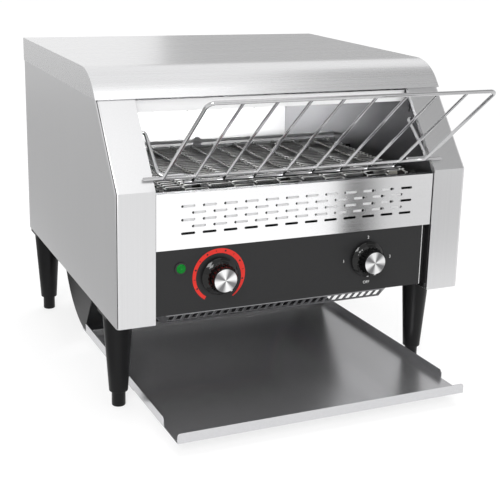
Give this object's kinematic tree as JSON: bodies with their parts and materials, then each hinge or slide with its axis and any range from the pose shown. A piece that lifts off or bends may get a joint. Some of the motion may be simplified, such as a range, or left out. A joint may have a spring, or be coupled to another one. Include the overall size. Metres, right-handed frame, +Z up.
{
  "type": "conveyor toaster",
  "caption": "Counter-top conveyor toaster with a wire belt between heater tubes, a sloping bread rack, a slotted vent panel, two control knobs and a low toast tray on conical legs.",
  "frame": {"origin": "middle of the bounding box on the surface that the feet stand on", "axes": "+Z up, +X to the right of someone in front of it, +Y into the toaster from its opening towards its rear panel"},
  "size_m": [0.47, 0.602, 0.415],
  "materials": {
    "stainless_sheet": "brushed, satin",
    "cover_sheet": "brushed, satin",
    "bright_sheet": "bright, smooth",
    "panel_black": "satin black",
    "chute_black": "matte black",
    "black_plastic": "satin",
    "knob_black": "glossy",
    "spun_aluminium": "spun, radial",
    "chrome_wire": "polished",
    "belt_wire": "polished",
    "machined_steel": "machined",
    "zinc_steel": "zinc plated",
    "quartz_glass": "clear",
    "coil_wire": "oxidised",
    "ceramic_white": "unglazed ceramic",
    "scale_red": "screen printed",
    "lens_green": "translucent",
    "motor_grey": "satin",
    "nylon_white": "satin"
  },
  "bodies": {
    "body": {"base_pan": "stainless_sheet", "belt_supports": "machined_steel", "cable_gland": "black_plastic", "ceramic_ends": "ceramic_white", "chamber_rear_wall": "bright_sheet", "colour_scale": "scale_red", "control_panel": "panel_black", "conveyor_belt": "belt_wire", "drive_chain": "machined_steel", "fan_frame": "black_plastic", "gear_motor": "motor_grey", "heat_shield": "bright_sheet", "heater_coils": "coil_wire", "heater_guard": "chrome_wire", "hood_strip": "bright_sheet", "inner_wall_left": "bright_sheet", "inner_wall_right": "bright_sheet", "leg_bolts": "zinc_steel", "leg_front_left": "black_plastic", "leg_front_right": "black_plastic", "leg_rear_left": "black_plastic", "leg_rear_right": "black_plastic", "lower_guard": "stainless_sheet", "lower_heater_tubes": "quartz_glass", "pilot_body": "black_plastic", "pilot_lens": "lens_green", "rear_guide": "chrome_wire", "rear_panel": "stainless_sheet", "rear_rail": "stainless_sheet", "rear_screws": "zinc_steel", "return_chute": "chute_black", "selector_switch": "black_plastic", "shaft_bearings": "machined_steel", "side_housing_left": "stainless_sheet", "side_housing_right": "stainless_sheet", "speed_control": "black_plastic", "terminal_block": "nylon_white", "thermostat": "ceramic_white", "top_cover": "cover_sheet", "tray_rails": "stainless_sheet", "upper_heater_tubes": "quartz_glass", "upper_reflector": "bright_sheet", "vent_panel": "stainless_sheet"},
    "belt_drive": {"drive_shaft": "machined_steel", "drive_sprockets": "machined_steel", "driven_sprocket": "machined_steel"},
    "belt_idler": {"idler_shaft": "machined_steel", "idler_sprockets": "machined_steel"},
    "motor_drive": {"motor_sprocket": "machined_steel"},
    "fan": {"fan_rotor": "black_plastic"},
    "colour_control": {"colour_knob": "knob_black", "colour_knob_cap": "spun_aluminium"},
    "selector": {"selector_knob": "knob_black", "selector_knob_cap": "spun_aluminium"},
    "bread_rack": {"feed_rack": "chrome_wire"},
    "tray": {"toast_tray": "stainless_sheet"},
    "foot_front_left_screw": {"foot_front_left": "black_plastic"},
    "foot_front_right_screw": {"foot_front_right": "black_plastic"},
    "foot_rear_left_screw": {"foot_rear_left": "black_plastic"},
    "foot_rear_right_screw": {"foot_rear_right": "black_plastic"}
  },
  "joints": [
    {"name": "belt_drive_spin", "type": "hinge", "parent": "body", "child": "belt_drive", "pos_m": [0, 0.083, 0.26429], "axis": [1, 0, 0], "continuous": true, "deforming": ["conveyor_belt", "drive_chain"]},
    {"name": "belt_idler_spin", "type": "hinge", "parent": "body", "child": "belt_idler", "pos_m": [0, -0.121, 0.26429], "axis": [1, 0, 0], "continuous": true},
    {"name": "motor_spin", "type": "hinge", "parent": "body", "child": "motor_drive", "pos_m": [0.19, 0.02, 0.186], "axis": [1, 0, 0], "continuous": true},
    {"name": "fan_spin", "type": "hinge", "parent": "body", "child": "fan", "pos_m": [0, -0.075, 0.15], "axis": [0, 0, 1], "continuous": true},
    {"name": "colour_control_turn", "type": "hinge", "parent": "body", "child": "colour_control", "pos_m": [-0.107, -0.165, 0.1782], "axis": [0, 1, 0], "range_deg": [-292, 0]},
    {"name": "selector_turn", "type": "hinge", "parent": "body", "child": "selector", "pos_m": [0.095, -0.165, 0.1782], "axis": [0, 1, 0], "range_deg": [0, 270]},
    {"name": "bread_rack_lift", "type": "hinge", "parent": "body", "child": "bread_rack", "pos_m": [0, -0.10672, 0.345], "axis": [-1, 0, 0], "range_deg": [0, 60]},
    {"name": "tray_slide", "type": "slide", "parent": "body", "child": "tray", "axis": [0, -0.9997, 0.0228], "range_m": [0, 0.15]},
    {"name": "foot_front_left_adjust", "type": "slide", "parent": "body", "child": "foot_front_left_screw", "axis": [0, 0, -1], "range_m": [-0.016, 0.006]},
    {"name": "foot_front_right_adjust", "type": "slide", "parent": "body", "child": "foot_front_right_screw", "axis": [0, 0, -1], "range_m": [-0.016, 0.006]},
    {"name": "foot_rear_left_adjust", "type": "slide", "parent": "body", "child": "foot_rear_left_screw", "axis": [0, 0, -1], "range_m": [-0.016, 0.006]},
    {"name": "foot_rear_right_adjust", "type": "slide", "parent": "body", "child": "foot_rear_right_screw", "axis": [0, 0, -1], "range_m": [-0.016, 0.006]}
  ],
  "couplings": [
    {"joint": "belt_idler_spin", "follows": "belt_drive_spin", "ratio": 1},
    {"joint": "motor_spin", "follows": "belt_drive_spin", "ratio": 1.8462}
  ]
}
